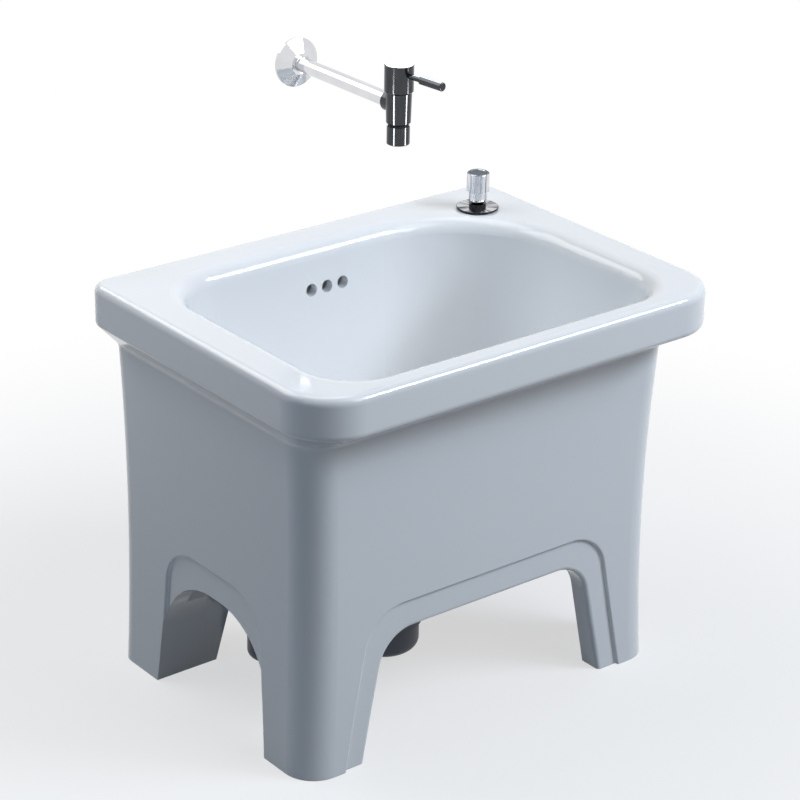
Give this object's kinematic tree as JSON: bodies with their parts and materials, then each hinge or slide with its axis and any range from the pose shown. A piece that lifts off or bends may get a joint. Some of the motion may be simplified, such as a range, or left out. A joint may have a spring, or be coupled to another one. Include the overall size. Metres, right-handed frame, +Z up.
{
  "type": "mop sink",
  "caption": "Floor-standing ceramic mop sink with flared rim, arched legs, knob-worked drain plug, bottle trap and a lever tap on a long stem from the wall.",
  "frame": {"origin": "bottom centre of the whole set's bounding box, on the floor", "axes": "+Z up, +Y towards the wall, +X to the right of someone who stands in front of the sink"},
  "size_m": [0.6, 0.464, 0.7648],
  "materials": {
    "ceramic": "gloss",
    "chrome": "polished",
    "brass": "satin",
    "rubber": "matte",
    "dark_plastic": "satin",
    "black_plastic": "satin",
    "white_plastic": "satin",
    "disc_ceramic": "polished",
    "steel": "satin"
  },
  "bodies": {
    "sink": {"ceramic_body": "ceramic", "waste_flange": "chrome", "deck_flange": "chrome", "collar_nut": "chrome", "tap_nozzle": "chrome", "tap_body": "chrome", "tap_stem": "chrome", "tap_wall_flange": "chrome", "back_nut": "brass", "control_body": "brass", "cartridge_body": "brass", "flange_gasket": "rubber", "under_washer": "rubber", "deck_gasket": "rubber", "control_washer": "rubber", "spindle_seal": "rubber", "trap_inlet_seal": "rubber", "cup_seal": "rubber", "trap_outlet_seal": "rubber", "stem_seal": "rubber", "nozzle_washer": "rubber", "cartridge_seal": "rubber", "trap_cup": "dark_plastic", "trap_head": "dark_plastic", "trap_inlet_nut": "dark_plastic", "trap_outlet_nut": "dark_plastic", "outlet_pipe": "dark_plastic", "floor_boot": "dark_plastic", "lift_housing": "dark_plastic", "housing_cover": "dark_plastic", "slip_ring": "dark_plastic", "cable_gland": "black_plastic", "cable_sheath": "black_plastic", "control_end_cap": "black_plastic", "aerator": "white_plastic", "fixed_disc": "disc_ceramic", "crank_pin": "steel"},
    "knob": {"drain_knob": "chrome", "knob_grub_screw": "steel", "control_spindle": "brass"},
    "plug": {"waste_plug": "chrome", "plug_seal": "rubber"},
    "crank": {"lift_crank": "black_plastic"},
    "wire": {"pull_wire": "steel"},
    "carrier": {"wire_carrier": "black_plastic", "carrier_wire": "steel"},
    "tap_handle": {"handle_cap": "chrome", "lever_rod": "chrome", "lever_grip": "chrome", "handle_grub_screw": "steel", "cartridge_spindle": "brass", "moving_disc": "disc_ceramic"}
  },
  "joints": [
    {"name": "knob_turn", "type": "hinge", "parent": "sink", "child": "knob", "pos_m": [0.227, 0.143, 0.5325], "axis": [0, 0, 1], "range_deg": [0, 90]},
    {"name": "plug_lift", "type": "slide", "parent": "sink", "child": "plug", "axis": [0, 0, 1], "range_m": [0, 0.01]},
    {"name": "crank_turn", "type": "hinge", "parent": "sink", "child": "crank", "pos_m": [0.0324, 0.0487, 0.14], "axis": [-0.4361, 0.8999, 0], "range_deg": [0, 16.9]},
    {"name": "wire_pull", "type": "slide", "parent": "sink", "child": "wire", "axis": [0.8999, 0.4361, 0], "range_m": [0, 0.00412]},
    {"name": "carrier_lift", "type": "slide", "parent": "sink", "child": "carrier", "axis": [0, 0, 1], "range_m": [0, 0.00412]},
    {"name": "lever_turn", "type": "hinge", "parent": "sink", "child": "tap_handle", "pos_m": [0, 0.018, 0.748], "axis": [0, 0, 1], "range_deg": [0, 90]}
  ],
  "couplings": [
    {"joint": "plug_lift", "follows": "knob_turn", "m_per_rad": 0.006366},
    {"joint": "crank_turn", "follows": "knob_turn", "ratio": 0.18724},
    {"joint": "wire_pull", "follows": "knob_turn", "m_per_rad": 0.0026214},
    {"joint": "carrier_lift", "follows": "knob_turn", "m_per_rad": 0.0026214}
  ]
}
